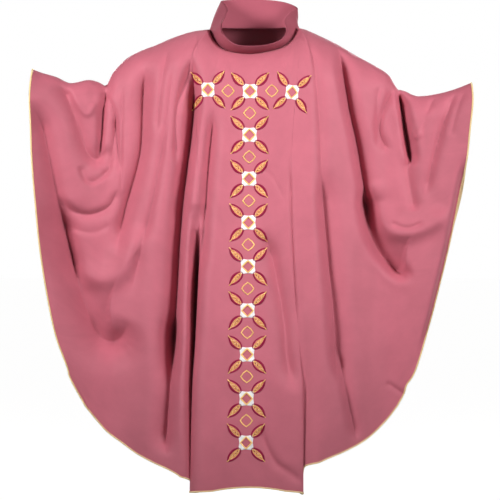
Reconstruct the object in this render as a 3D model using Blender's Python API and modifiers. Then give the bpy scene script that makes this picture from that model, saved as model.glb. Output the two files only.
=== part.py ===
"""A Gothic chasuble with a proud centre panel, held as a wearer with spread arms holds it.

Metres, +Z up. The front faces -Y, and left means the wearer's left, which is +X. The origin
lies between the high points of the two shoulders, where the wearer carries the garment.
"""

import math

import bmesh
import bpy
import numpy as np
from mathutils import Matrix, Vector

# Driving dimensions: the cloth and its outline
CLOTH = 0.0016                  # thickness of a cloth sheet with its facing
CUFF_X = 0.613                  # centre line to the sleeve edge
SIDE_HEM_Z = -1.245             # lowest point of a wing's hem, behind the centre panel
PANEL_CORNER_Z = -1.303         # lowest points of the centre panel
PANEL_ARCH = 0.018              # rise of the centre panel's hem between its corners

# Centre panels, front and back
PANEL_TOP_HALF = 0.176          # half width at the shoulders
PANEL_HALF = ((-1.4, 0.160), (-1.0, 0.152), (-0.5, 0.149), (-0.3, 0.166), (-0.2, 0.176), (0.1, 0.176))
PANEL_REACH = {-1: 0.150, 1: 0.165}     # distance in front of or behind the shoulder line
PANEL_LEAN = 0.028              # extra distance per metre of drop
WING_REACH = {-1: 0.124, 1: 0.124}      # the wing's cloth beside and under the centre panel
CHEST_ROUND = 0.13              # drop in which the cloth turns over the shoulder
ARM_ROUND = 0.07                # drop in which the cloth turns over the arm
ARM_RADIUS = 0.055
BACK_FLARE = 0.05               # the back sheet leaves the arm by this per metre of drop

# Wings: the parts that the arms carry
WING_TOP_IN = 0.194             # inner end of a wing's shoulder seam
WING_INNER = ((-1.4, 0.103), (-0.38, 0.103), (-0.15, 0.150), (-0.016, WING_TOP_IN), (0.1, WING_TOP_IN))
SHOULDER_LINE = ((0.10, -0.003), (0.165, -0.006), (0.22, -0.027), (0.31, -0.068), (0.38, -0.122),
                 (0.415, -0.163), (0.50, -0.174), (CUFF_X, -0.148))
ARM_FORWARD = ((0.10, 0.0), (0.20, 0.0), (0.40, -0.035), (CUFF_X, -0.12))
SIDE_CORNER = (0.468, -0.99)    # where the sleeve edge turns into the hem
SIDE_PULLS = ((0.622, -0.45), (0.565, -0.80))
HEM_PULLS = ((0.42, -1.10), (0.28, -1.235))
FLUTE = 0.010                   # depth of the wing's soft folds
FLUTE_PITCH = 0.15
HINGE = {1: Vector((0.185, 0.0, 0.0)), -1: Vector((-0.185, 0.0, 0.0))}
SEAM_GAP = 0.0016               # front and back sheets stop this far from the shoulder seam

# Collar
NECK_HALF_WIDTH = 0.123
NECK_HALF_DEPTH = 0.085
NECK_FRONT_Z = -0.080
NECK_BACK_Z = 0.010
COLLAR_LEAN = 0.90              # width of the rim as a share of the neck seam's
RIM_FRONT_Z = -0.058
RIM_SIDE_RISE = 0.113
RIM_BACK_RISE = 0.045
COLLAR_PLY = 0.0010
COLLAR_STEP = 0.0026            # from the middle of one ply to the middle of the next
BINDING_RADIUS = 0.0022
NECK_EASE = 0.0070              # the panels start this far outside the collar

# Trim
CORD_RADIUS = 0.0028
CORD_GAP = 0.0004
TAPE_WIDTH = 0.008
TAPE_DROP = 0.0050              # below the shoulder seam
MOTIF_PLY = 0.0010
MOTIF_LIFT = 0.0034             # middle of the embroidery over the middle of the cloth
CROSS_PITCH = 0.122
FIRST_CROSS_Z = -0.188
ROW_CROSSES = 9
CROSS_OUTLINE = (               # angle from a leaf's middle, distance from the cross's centre
    (0.0, 0.073), (math.radians(15), 0.046), (math.radians(45), 0.0225))
DIAMOND_TIP = 0.0185
DIAMOND_STROKE = 0.0030

# Grids
PANEL_GRID = (10, 20)
WING_GRID = (14, 20)
ROW_POWER = 1.5                 # crowds the rows towards the shoulders
RING_SIDES = 28

FINISHES = {                    # colour, roughness, metallic
    "rose_cloth": ((0.60, 0.17, 0.24), 0.75, 0.0),
    "rose_lining": ((0.50, 0.13, 0.19), 0.80, 0.0),
    "interfacing": ((0.80, 0.78, 0.74), 0.90, 0.0),
    "gold_cord": ((0.76, 0.56, 0.26), 0.45, 0.2),
    "embroidery": ((0.45, 0.05, 0.10), 0.60, 0.0),
    "gold_thread": ((0.80, 0.55, 0.20), 0.40, 0.3),
}
FACES = {"front": -1, "back": 1}
SIDES = {"left": 1, "right": -1}


def clear_scene():
    for obj in list(bpy.data.objects):
        bpy.data.objects.remove(obj, do_unlink=True)


def new_material(name, finish):
    colour, roughness, metallic = FINISHES[finish]
    material = bpy.data.materials.new(name)
    material.use_nodes = True
    shader = material.node_tree.nodes["Principled BSDF"]
    shader.inputs["Base Color"].default_value = (*colour, 1.0)
    shader.inputs["Roughness"].default_value = roughness
    shader.inputs["Metallic"].default_value = metallic
    return material


def through(points, at):
    """The height at `at` of a smooth curve through (position, height) points in rising order."""
    xs, ys = np.array(points).T
    slopes = np.gradient(ys, xs)
    i = int(np.clip(np.searchsorted(xs, at) - 1, 0, len(xs) - 2))
    step = xs[i + 1] - xs[i]
    t = float(np.clip((at - xs[i]) / step, 0.0, 1.0))
    rise = ys[i] * (1 + 2 * t) * (1 - t) ** 2 + ys[i + 1] * t * t * (3 - 2 * t)
    return float(rise + step * (slopes[i] * t * (1 - t) ** 2 - slopes[i + 1] * t * t * (1 - t)))


def bezier(start, pulls, end, t):
    """The point at `t` of a cubic curve in X and Z."""
    s = 1 - t
    weights = (s**3, 3 * s * s * t, 3 * s * t * t, t**3)
    corners = (start, *pulls, end)
    return tuple(sum(w * c[axis] for w, c in zip(weights, corners)) for axis in (0, 1))


def smooth_step(low, high, at):
    t = min(max((at - low) / (high - low), 0.0), 1.0)
    return t * t * (3 - 2 * t)


def turn_over(top_y, hanging_y, drop, round_drop):
    """How far forward cloth lies `drop` below the shoulder or arm that it turns over."""
    share = min(max(drop / round_drop, 0.0), 1.0)
    return top_y + (hanging_y - top_y) * math.sqrt(1 - (1 - share) ** 2)


def neck_top(x, face):
    """The upper edge of a centre panel: round the neck, then along the shoulder."""
    half_width = NECK_HALF_WIDTH + NECK_EASE
    shoulder = through(SHOULDER_LINE, abs(x))
    if abs(x) >= half_width:
        return face * SEAM_GAP, shoulder
    round_neck = math.sqrt(1 - (x / half_width) ** 2)
    lowest = NECK_FRONT_Z if face < 0 else NECK_BACK_Z
    y = face * (SEAM_GAP + (NECK_HALF_DEPTH + NECK_EASE) * round_neck)
    return y, shoulder + (lowest - shoulder) * round_neck


def panel_y(x, z, face):
    top_y, top_z = neck_top(x, face)
    hanging = face * (PANEL_REACH[face] - PANEL_LEAN * z)
    return turn_over(top_y, hanging, top_z - z, CHEST_ROUND)


def panel_point(face, u, v):
    across = 2 * u - 1
    top_y, top_z = neck_top(across * PANEL_TOP_HALF, face)
    hem_z = PANEL_CORNER_Z + PANEL_ARCH * (1 - across**2)
    z = top_z + (hem_z - top_z) * v**ROW_POWER
    x = across * through(PANEL_HALF, z)
    y = top_y if v == 0 else panel_y(x, z, face)
    return Vector((x, y, z))


def wing_outline(u, v):
    """X and Z of a wing's point, from its four edges."""
    top_x = WING_TOP_IN + (CUFF_X - WING_TOP_IN) * u
    top = np.array((top_x, through(SHOULDER_LINE, top_x)))
    inner_top = np.array((WING_TOP_IN, through(SHOULDER_LINE, WING_TOP_IN)))
    outer_top = np.array((CUFF_X, through(SHOULDER_LINE, CUFF_X)))
    corner = np.array(SIDE_CORNER)
    inner_z = inner_top[1] + (SIDE_HEM_Z - inner_top[1]) * v
    inner = np.array((through(WING_INNER, inner_z), inner_z))
    inner_hem = np.array((through(WING_INNER, SIDE_HEM_Z), SIDE_HEM_Z))
    outer = np.array(bezier(tuple(outer_top), SIDE_PULLS, SIDE_CORNER, v))
    hem = np.array(bezier(tuple(inner_hem), HEM_PULLS[::-1], SIDE_CORNER, u))
    corners = (1 - v) * ((1 - u) * inner_top + u * outer_top) + v * ((1 - u) * inner_hem + u * corner)
    return (1 - v) * top + v * hem + (1 - u) * inner + u * outer - corners


def wing_hanging_y(x, z, face):
    body = face * (WING_REACH[face] - PANEL_LEAN * z)
    arm = through(ARM_FORWARD, x) + face * ARM_RADIUS
    if face > 0:
        arm -= BACK_FLARE * z
    return body + (arm - body) * smooth_step(0.16, 0.44, x)


def wing_point(face, side, u, v):
    x, z = (float(c) for c in wing_outline(u, v**ROW_POWER))
    drop = through(SHOULDER_LINE, x) - z
    top_y = through(ARM_FORWARD, x) + face * SEAM_GAP
    round_drop = CHEST_ROUND + (ARM_ROUND - CHEST_ROUND) * smooth_step(0.2, 0.4, x)
    y = turn_over(top_y, wing_hanging_y(x, z, face), drop, round_drop)
    folds = math.sin(2 * math.pi * (x - WING_TOP_IN) / FLUTE_PITCH)
    y += face * FLUTE * folds * smooth_step(0.15, 0.5, drop) * smooth_step(0.18, 0.24, x)
    return Vector((side * x, y, z))


def finish_node(obj, finish, side, collection):
    """Gives a node its material, its collection and, on a wing, its hinge as parent."""
    obj.data.materials.append(new_material(obj.name, finish))
    collection.objects.link(obj)
    if side:
        obj.data.transform(Matrix.Translation(-HINGE[side]))
        obj.parent = bpy.data.objects[f"{'left' if side > 0 else 'right'}_wing_hinge"]


def thicken(obj, thickness):
    shell = obj.modifiers.new("Thickness", "SOLIDIFY")
    shell.thickness = thickness
    shell.offset = 0.0
    shell.use_even_offset = True


def add_sheet(name, grid, place, finish, side, collection, thickness=CLOTH):
    """A sheet from a grid whose points `place(u, v)` sets, u across and v from top to hem."""
    bm = bmesh.new()
    bmesh.ops.create_grid(bm, x_segments=grid[0], y_segments=grid[1], size=0.5)
    for vert in bm.verts:
        vert.co = place(vert.co.x + 0.5, 0.5 - vert.co.y)
    mesh = bpy.data.meshes.new(name)
    bm.to_mesh(mesh)
    bm.free()
    sheet = bpy.data.objects.new(name, mesh)
    thicken(sheet, thickness)
    finish_node(sheet, finish, side, collection)


def add_cord(name, points, radius, finish, side, collection, closed=False):
    curve = bpy.data.curves.new(name, "CURVE")
    curve.dimensions = "3D"
    curve.bevel_depth = radius
    curve.bevel_resolution = 1
    curve.use_fill_caps = not closed
    spline = curve.splines.new("POLY")
    spline.points.add(len(points) - 1)
    for knot, point in zip(spline.points, points):
        knot.co = (*point, 1.0)
    spline.use_cyclic_u = closed
    cord = bpy.data.objects.new(name, curve)
    finish_node(cord, finish, side, collection)


def beside_edge(edge, distance):
    """The edge's points moved outwards, in the plane of X and Z, by `distance`."""
    moved = []
    for i, point in enumerate(edge):
        along = edge[min(i + 1, len(edge) - 1)] - edge[max(i - 1, 0)]
        outwards = Vector((-along.z, 0.0, along.x)).normalized()
        moved.append(point + distance * outwards)
    return moved


def add_panel(word, face, collection):
    add_sheet(f"{word}_centre_panel", PANEL_GRID, lambda u, v: panel_point(face, u, v),
              "rose_cloth", 0, collection)
    edge = [panel_point(face, i / PANEL_GRID[0], 1.0) for i in range(PANEL_GRID[0] + 1)]
    below = [point - Vector((0, 0, CLOTH / 2 + CORD_RADIUS + CORD_GAP)) for point in edge]
    add_cord(f"{word}_hem_cord", below, CORD_RADIUS, "gold_cord", 0, collection)


def tape_point(side, u, v):
    x = WING_TOP_IN + 0.01 + (CUFF_X - 0.02 - WING_TOP_IN) * u
    y = through(ARM_FORWARD, x) + TAPE_WIDTH * (v - 0.5)
    return Vector((side * x, y, through(SHOULDER_LINE, x) - TAPE_DROP))


def add_wing(word, side, collection):
    hinge = bpy.data.objects.new(f"{word}_wing_hinge", None)
    hinge.location = HINGE[side]
    collection.objects.link(hinge)
    for face_word, face in FACES.items():
        add_sheet(f"{word}_{face_word}_wing", WING_GRID,
                  lambda u, v: wing_point(face, side, u, v), "rose_cloth", side, collection)
        columns, rows = WING_GRID
        edge = [wing_point(face, 1, 1.0, i / rows) for i in range(rows + 1)]
        edge += [wing_point(face, 1, 1 - i / columns, 1.0) for i in range(1, columns + 1)]
        outside = beside_edge(edge, CLOTH / 2 + CORD_RADIUS + CORD_GAP)
        cord = [Vector((side * p.x, p.y, p.z)) for p in outside]
        add_cord(f"{word}_{face_word}_cord", cord, CORD_RADIUS, "gold_cord", side, collection)
    add_sheet(f"{word}_shoulder_tape", (16, 1), lambda u, v: tape_point(side, u, v),
              "interfacing", side, collection, COLLAR_PLY)


def seam_ring(turn, inset):
    """The neck seam at `turn`, an angle from the front, moved in by `inset`."""
    x = (NECK_HALF_WIDTH - inset) * math.sin(turn)
    y = -(NECK_HALF_DEPTH - inset) * math.cos(turn)
    z = NECK_FRONT_Z * max(math.cos(turn), 0.0) - NECK_BACK_Z * min(math.cos(turn), 0.0)
    return Vector((x, y, z))


def rim_height(turn):
    front = 1 - max(math.cos(turn), 0.0)
    back = -min(math.cos(turn), 0.0)
    return RIM_FRONT_Z + RIM_SIDE_RISE * front**1.6 + RIM_BACK_RISE * back


def collar_point(inset, u, v):
    turn = 2 * math.pi * u
    seam = seam_ring(turn, inset)
    rim = Vector((seam.x * COLLAR_LEAN, seam.y * COLLAR_LEAN, rim_height(turn)))
    return rim.lerp(seam, v)


def add_collar_ply(name, inset, finish, collection):
    """One of the collar's three plies: a ring of quads bent to the neck, open above and below."""
    bm = bmesh.new()
    bmesh.ops.create_cone(bm, segments=RING_SIDES, radius1=1.0, radius2=1.0, depth=1.0, cap_ends=False)
    uprights = [edge for edge in bm.edges if abs(edge.verts[0].co.z - edge.verts[1].co.z) > 0.5]
    bmesh.ops.subdivide_edges(bm, edges=uprights, cuts=1)
    for vert in bm.verts:
        turn = math.atan2(vert.co.x, -vert.co.y) % (2 * math.pi)
        vert.co = collar_point(inset, turn / (2 * math.pi), 0.5 - vert.co.z)
    mesh = bpy.data.meshes.new(name)
    bm.to_mesh(mesh)
    bm.free()
    ply = bpy.data.objects.new(name, mesh)
    thicken(ply, COLLAR_PLY)
    finish_node(ply, finish, 0, collection)


def add_collar(collection):
    add_collar_ply("collar_outer", 0.0, "rose_cloth", collection)
    add_collar_ply("collar_interfacing", COLLAR_STEP, "interfacing", collection)
    add_collar_ply("collar_lining", 2 * COLLAR_STEP, "rose_lining", collection)
    ring = [seam_ring(2 * math.pi * i / RING_SIDES, -NECK_EASE / 2) for i in range(RING_SIDES)]
    add_cord("neck_binding", ring, BINDING_RADIUS, "rose_lining", 0, collection, closed=True)


def cross_reach(turn):
    """How far the four-leaved cross reaches from its centre at an angle, leaves on the diagonals."""
    from_leaf = abs(turn % (math.pi / 2) - math.pi / 4)
    return float(np.interp(from_leaf, *zip(*CROSS_OUTLINE)))


def on_panel(x, z, face):
    return Vector((x, panel_y(x, z, face) + face * MOTIF_LIFT, z))


def add_cross(name, centre, face, collection):
    """A cross of four leaves on a square, laid on the panel."""
    corners = [math.radians(quarter + angle) for quarter in range(0, 360, 90) for angle in (0, 30, 45, 60)]
    bm = bmesh.new()
    bmesh.ops.create_circle(bm, cap_ends=True, cap_tris=True, segments=len(corners), radius=1.0)
    spokes = [edge for edge in bm.edges if min(v.co.length for v in edge.verts) < 0.5]
    bmesh.ops.subdivide_edges(bm, edges=spokes, cuts=1)
    bmesh.ops.triangulate(bm, faces=bm.faces[:])
    step = 2 * math.pi / len(corners)
    for vert in bm.verts:
        turn = corners[round(math.atan2(vert.co.y, vert.co.x) / step) % len(corners)]
        reach = cross_reach(turn) * vert.co.xy.length
        vert.co = on_panel(centre[0] + reach * math.cos(turn), centre[1] + reach * math.sin(turn), face)
    add_motif(name, bm, "embroidery", collection)


def add_diamond(name, centre, face, collection):
    """A small diamond outline, laid on the panel."""
    bm = bmesh.new()
    bmesh.ops.create_circle(bm, cap_ends=True, segments=4, radius=1.0)
    ring = bmesh.ops.inset_region(
        bm, faces=bm.faces[:], thickness=0.3, use_boundary=True, use_even_offset=True)
    bmesh.ops.delete(bm, geom=[f for f in bm.faces if f not in ring["faces"]], context="FACES")
    for vert in bm.verts:
        outer = vert.co.xy.length > 0.9
        reach = DIAMOND_TIP if outer else DIAMOND_TIP - math.sqrt(2) * DIAMOND_STROKE
        turn = math.atan2(vert.co.y, vert.co.x)
        vert.co = on_panel(centre[0] + reach * math.cos(turn), centre[1] + reach * math.sin(turn), face)
    add_motif(name, bm, "gold_thread", collection)


def add_motif(name, bm, finish, collection):
    mesh = bpy.data.meshes.new(name)
    bm.to_mesh(mesh)
    bm.free()
    motif = bpy.data.objects.new(name, mesh)
    thicken(motif, MOTIF_PLY)
    finish_node(motif, finish, 0, collection)


def add_embroidery(word, face, collection):
    """A T of crosses with diamonds between them: three crosses across, nine down."""
    column = [(0.0, FIRST_CROSS_Z - CROSS_PITCH * i) for i in range(ROW_CROSSES)]
    arms = [(side * CROSS_PITCH, FIRST_CROSS_Z) for side in (-1, 1)]
    between = [(0.0, z - CROSS_PITCH / 2) for _, z in column[:-1]]
    between += [(x / 2, z) for x, z in arms]
    for i, centre in enumerate(column + arms, start=1):
        add_cross(f"{word}_cross_{i:02d}", centre, face, collection)
    for i, centre in enumerate(between, start=1):
        add_diamond(f"{word}_diamond_{i:02d}", centre, face, collection)


def main():
    clear_scene()
    chasuble = bpy.data.collections.new("chasuble")
    bpy.context.scene.collection.children.link(chasuble)
    for word, face in FACES.items():
        add_panel(word, face, chasuble)
        add_embroidery(word, face, chasuble)
    for word, side in SIDES.items():
        add_wing(word, side, chasuble)
    add_collar(chasuble)


main()
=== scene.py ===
import math

import bpy
import numpy as np
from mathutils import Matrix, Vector
from mathutils.bvhtree import BVHTree


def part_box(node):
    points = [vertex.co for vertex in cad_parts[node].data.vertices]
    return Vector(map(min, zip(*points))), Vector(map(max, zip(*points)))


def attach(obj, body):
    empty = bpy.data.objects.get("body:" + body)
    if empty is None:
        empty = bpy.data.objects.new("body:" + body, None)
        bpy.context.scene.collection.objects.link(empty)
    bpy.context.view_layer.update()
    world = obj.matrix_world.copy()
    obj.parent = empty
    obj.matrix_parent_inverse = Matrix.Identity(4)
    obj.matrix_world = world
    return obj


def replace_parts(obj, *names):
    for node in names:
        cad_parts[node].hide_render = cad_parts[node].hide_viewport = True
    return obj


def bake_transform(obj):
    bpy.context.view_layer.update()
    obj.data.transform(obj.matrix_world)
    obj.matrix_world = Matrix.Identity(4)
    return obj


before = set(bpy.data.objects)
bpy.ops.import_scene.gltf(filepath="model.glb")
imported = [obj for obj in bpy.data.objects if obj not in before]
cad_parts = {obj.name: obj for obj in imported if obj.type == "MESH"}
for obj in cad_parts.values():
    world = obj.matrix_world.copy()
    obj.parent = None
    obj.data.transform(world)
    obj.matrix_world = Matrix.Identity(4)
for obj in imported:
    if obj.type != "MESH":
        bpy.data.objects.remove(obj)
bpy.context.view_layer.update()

# The chasuble as cloth: two large sheets that hang from the shoulders and arms, with the folds,
# the pleats beside the centre panel, the collar, the twisted gold cord and the raised embroidery.
# Metres, +Z up, the front faces -Y. "left" is the wearer's left, +X.

# ---------------------------------------------------------------- sizes, the crosses' taken from the frame
SIDES = {"left": 1, "right": -1}
FACES = {"front": -1, "back": 1}
CROSS_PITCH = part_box("front_cross_01")[0].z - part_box("front_cross_02")[0].z
FIRST_CROSS_Z = sum(c.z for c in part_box("front_cross_01")) / 2
CROSS_REACH = (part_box("front_cross_01")[1].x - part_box("front_cross_01")[0].x) / 2

CLOTH = 0.0014                  # thickness of the cloth
CORD_RADIUS = 0.0027            # over both strands
TWIST_STEPS = 8                 # points in each turn of a strand
TAPE = 0.0008                   # thickness of the shoulder tapes
ROLL_RADIUS = 0.0018            # of the neck binding and the shoulder seams
DIVIDE_X = 0.148                # |x| at the top edge where a sheet's middle piece meets its wing
SLEEVE_X = 0.617                # |x| of the sleeve edge

# ---------------------------------------------------------------- outlines, as (|x|, z)
# The top edge from the collar over the shoulder and along the arm to the sleeve edge. It dips where the
# cloth drops between the body and the arm.
TOP = {
    "right": ((0.113, -0.001), (0.165, -0.008), (0.218, -0.025), (0.266, -0.046), (0.311, -0.064),
              (0.347, -0.084), (0.370, -0.106), (0.389, -0.129), (0.400, -0.152), (0.408, -0.166),
              (0.431, -0.155), (0.459, -0.150), (0.507, -0.160), (0.546, -0.144), (0.584, -0.134),
              (0.606, -0.126)),
    "left": ((0.137, 0.003), (0.160, -0.003), (0.192, -0.017), (0.249, -0.045), (0.302, -0.077),
             (0.358, -0.109), (0.392, -0.133), (0.407, -0.158), (0.420, -0.176), (0.437, -0.180),
             (0.465, -0.194), (0.490, -0.196), (0.535, -0.190), (0.577, -0.179), (0.617, -0.164)),
}
# The free edge from the sleeve edge down to the corner, then the hem from the corner inwards.
EDGE = {
    ("front", "right"): ((0.606, -0.126), (0.610, -0.22), (0.606, -0.36), (0.595, -0.493), (0.583, -0.62),
                         (0.563, -0.756), (0.540, -0.867), (0.509, -0.955), (0.499, -0.990),
                         (0.459, -1.067)),
    ("front", "left"): ((0.617, -0.164), (0.616, -0.221), (0.609, -0.288), (0.598, -0.398), (0.580, -0.501),
                        (0.554, -0.63), (0.520, -0.773), (0.500, -0.844), (0.462, -0.966), (0.438, -1.008),
                        (0.431, -1.032), (0.412, -1.067)),
    ("back", "right"): ((0.606, -0.126), (0.608, -0.22), (0.603, -0.36), (0.590, -0.50), (0.568, -0.65),
                        (0.540, -0.80), (0.505, -0.92), (0.450, -1.060)),
    ("back", "left"): ((0.617, -0.164), (0.618, -0.24), (0.613, -0.32), (0.608, -0.40), (0.594, -0.49),
                       (0.556, -0.64), (0.520, -0.78), (0.490, -0.88), (0.425, -1.040)),
}
HEM = {
    ("front", "right"): ((0.459, -1.067), (0.431, -1.103), (0.398, -1.140), (0.356, -1.170),
                         (0.316, -1.197), (0.272, -1.219), (0.222, -1.240), (0.193, -1.257),
                         (0.1795, -1.280), (0.165, -1.298), (0.148, -1.306)),
    ("front", "left"): ((0.412, -1.067), (0.384, -1.103), (0.347, -1.140), (0.3125, -1.165),
                        (0.259, -1.190), (0.204, -1.211), (0.172, -1.228), (0.165, -1.255),
                        (0.155, -1.292), (0.1427, -1.306)),
    ("back", "right"): ((0.450, -1.060), (0.380, -1.140), (0.300, -1.190), (0.225, -1.225),
                        (0.185, -1.250), (0.146, -1.300)),
    ("back", "left"): ((0.425, -1.040), (0.370, -1.120), (0.300, -1.175), (0.225, -1.215),
                       (0.185, -1.245), (0.146, -1.300)),
}
HEM_ARCH = 0.021                # rise of the centre panel's hem at the middle

# Pleats beside the centre panel, as (z, |x| of the pleat's middle, how far the cloth swings sideways in
# it, how far it steps back). The cloth folds over itself where the swing is over PLEAT_SPAN / pi.
PLEAT_SPAN = 0.045
PLEAT_BACK = (-0.9, 0.3)        # in spans from its middle: here the cloth steps back,
PLEAT_FORTH = (0.50, 0.98)      # here it comes forward again by all but a tenth,
PLEAT_TAIL = (1.2, 4.5)         # and here by the rest
DOUBLED = (0.003, 0.016)        # swing between which the cloth starts to lie over itself
PLEAT = {
    ("front", "right"): ((0.02, 0.148, 0, 0), (-0.30, 0.147, 0, 0), (-0.50, 0.1425, 0.0, 0.0),
                         (-0.57, 0.1405, 0.0130, 0.026), (-0.66, 0.140, 0.0190, 0.085),
                         (-0.72, 0.142, 0.0200, 0.105), (-0.81, 0.1445, 0.0225, 0.115),
                         (-0.90, 0.146, 0.026, 0.115), (-0.99, 0.149, 0.030, 0.110),
                         (-1.08, 0.1495, 0.033, 0.100), (-1.32, 0.148, 0.040, 0.080)),
    ("front", "left"): ((0.02, 0.148, 0, 0), (-0.15, 0.132, 0, 0), (-0.33, 0.117, 0, 0),
                        (-0.465, 0.118, 0, 0.001), (-0.63, 0.120, 0.002, 0.002),
                        (-0.742, 0.125, 0.004, 0.004), (-0.84, 0.133, 0.009, 0.007),
                        (-0.966, 0.143, 0.0152, 0.013),
                        (-1.03, 0.146, 0.0175, 0.016), (-1.32, 0.1427, 0.023, 0.020)),
    ("back", "right"): ((0.02, 0.148, 0, 0), (-0.40, 0.140, 0, 0), (-0.62, 0.141, 0.012, 0.012),
                        (-0.90, 0.145, 0.022, 0.020), (-1.32, 0.146, 0.028, 0.026)),
    ("back", "left"): ((0.02, 0.148, 0, 0), (-0.45, 0.140, 0, 0), (-0.70, 0.141, 0.012, 0.012),
                       (-0.95, 0.145, 0.020, 0.018), (-1.32, 0.146, 0.027, 0.024)),
}

# ---------------------------------------------------------------- how the cloth hangs
REACH = {"front": 0.150, "back": 0.165}     # the body holds the cloth this far from the shoulder line
BODY_LEAN = 0.028               # and this much further for each metre down
CHEST_ROUND = 0.13              # drop in which the cloth turns over the shoulder
ARM_ROUND = 0.075               # and over the arm
ARM_RADIUS = 0.055
BACK_FLARE = 0.05
BODY_TO_ARM = (0.17, 0.45)      # |x| over which the cloth's distance changes from the body's to the arm's
CHEST_TO_ARM = (0.2, 0.4)       # and its rounding
EDGE_ROLL_WIDTH = 0.015
EDGE_ROLL = 0.050               # how far the loose stretch of the front's left edge rolls in
EDGE_WAVE = 0.004               # and how far the other edges sway
ARM_FORWARD = ((0.0, 0.0), (0.10, 0.0), (0.20, 0.0), (0.30, -0.012), (0.40, -0.035), (0.50, -0.072),
               (0.62, -0.122))

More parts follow.
